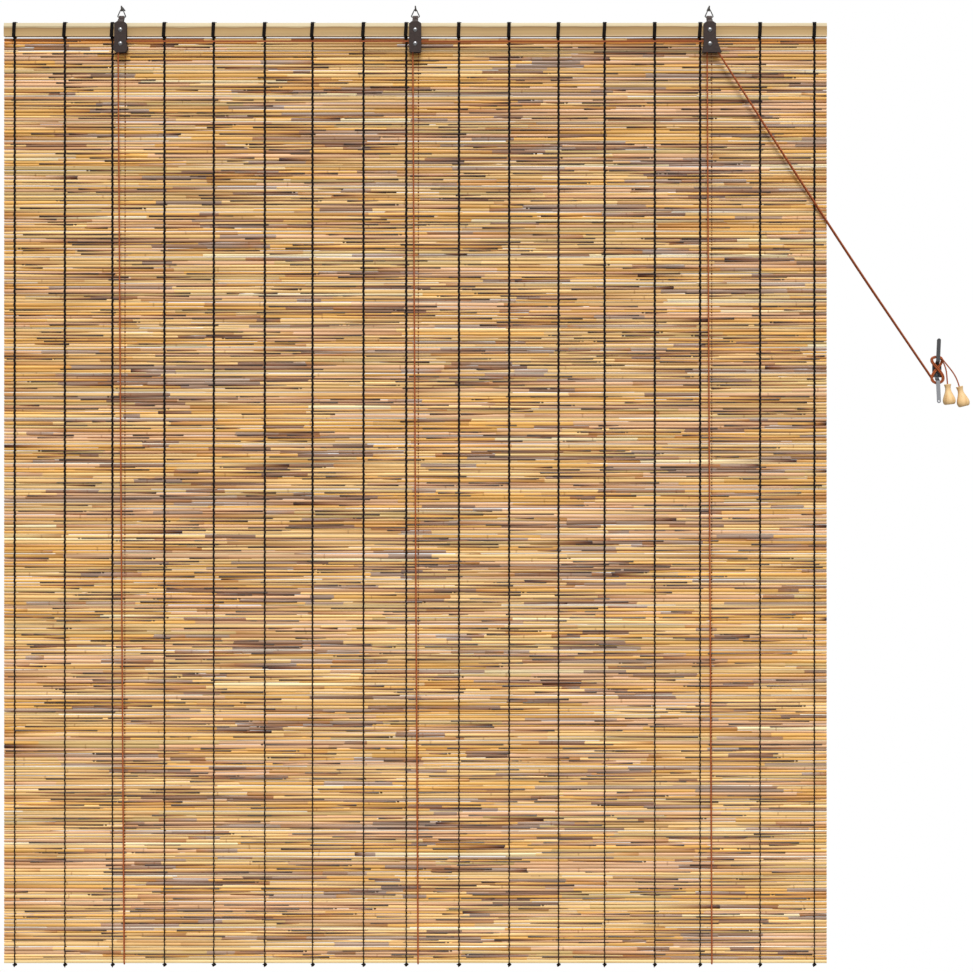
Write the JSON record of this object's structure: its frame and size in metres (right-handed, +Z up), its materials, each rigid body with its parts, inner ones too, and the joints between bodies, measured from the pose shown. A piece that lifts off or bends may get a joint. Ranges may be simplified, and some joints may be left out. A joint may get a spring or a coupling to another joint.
{
  "type": "reed roll up blind",
  "caption": "Roll up blind of woven reeds under a wooden headrail, hung by rings on wall hooks, with lift cords over bracket wheels to a horn cleat.",
  "frame": {"origin": "where the centre hook's axis enters the wall", "axes": "+X along the headrail to the cleat's side, +Y into the wall, +Z up; the front faces -Y"},
  "size_m": [1.6443, 0.062, 1.6375],
  "materials": {
    "pine": "plain sawn, smooth",
    "reed": "natural, mottled",
    "bamboo": "natural",
    "turned_wood": "satin varnish",
    "black_twine": "twisted",
    "terracotta_cord": "braided",
    "black_sheet": "satin paint",
    "rivet_steel": "plated",
    "ring_wire": "plated",
    "hook_steel": "plated",
    "staple_steel": "plain",
    "cleat_steel": "plated, dull",
    "wheel_plastic": "plain"
  },
  "bodies": {
    "wall_fittings": {"cleat": "cleat_steel", "cleat_wrap": "terracotta_cord", "wood_pull_inner": "turned_wood", "wood_pull_outer": "turned_wood", "pull_cord_front": "terracotta_cord", "pull_cord_rear": "terracotta_cord", "pull_tail_inner": "terracotta_cord", "pull_tail_outer": "terracotta_cord", "ring_left": "ring_wire", "ring_centre": "ring_wire", "ring_right": "ring_wire", "hook_left": "hook_steel", "hook_centre": "hook_steel", "hook_right": "hook_steel"},
    "blind": {"headrail": "pine", "reed_mat": "reed", "bottom_slat": "bamboo", "warp_twines": "black_twine", "headrail_wraps": "black_twine", "bottom_knots": "black_twine", "bracket_rivets": "rivet_steel", "wheel_axles": "rivet_steel", "cord_staples": "staple_steel", "cord_tie": "terracotta_cord", "head_cord_left": "terracotta_cord", "head_cord_centre": "terracotta_cord", "lift_cord_left": "terracotta_cord", "bracket_left": "black_sheet", "lift_cord_centre": "terracotta_cord", "bracket_centre": "black_sheet", "lift_cord_right": "terracotta_cord", "bracket_right": "black_sheet"},
    "left_wheel": {"wheel_left": "wheel_plastic"},
    "centre_wheel": {"wheel_centre": "wheel_plastic"},
    "right_wheel": {"wheel_right": "wheel_plastic"}
  },
  "joints": [
    {"name": "blind_swing", "type": "hinge", "parent": "wall_fittings", "child": "blind", "pos_m": [0, -0.018, -0.0178], "axis": [-1, 0, 0], "range_deg": [-0.3, 5], "deforming": ["pull_cord_front", "pull_cord_rear"]},
    {"name": "left_wheel_spin", "type": "hinge", "parent": "blind", "child": "left_wheel", "pos_m": [-0.5, -0.0302, -0.0657], "axis": [0, 1, 0], "continuous": true},
    {"name": "centre_wheel_spin", "type": "hinge", "parent": "blind", "child": "centre_wheel", "pos_m": [0, -0.0302, -0.0657], "axis": [0, 1, 0], "continuous": true},
    {"name": "right_wheel_spin", "type": "hinge", "parent": "blind", "child": "right_wheel", "pos_m": [0.5, -0.0302, -0.0657], "axis": [0, 1, 0], "continuous": true}
  ]
}
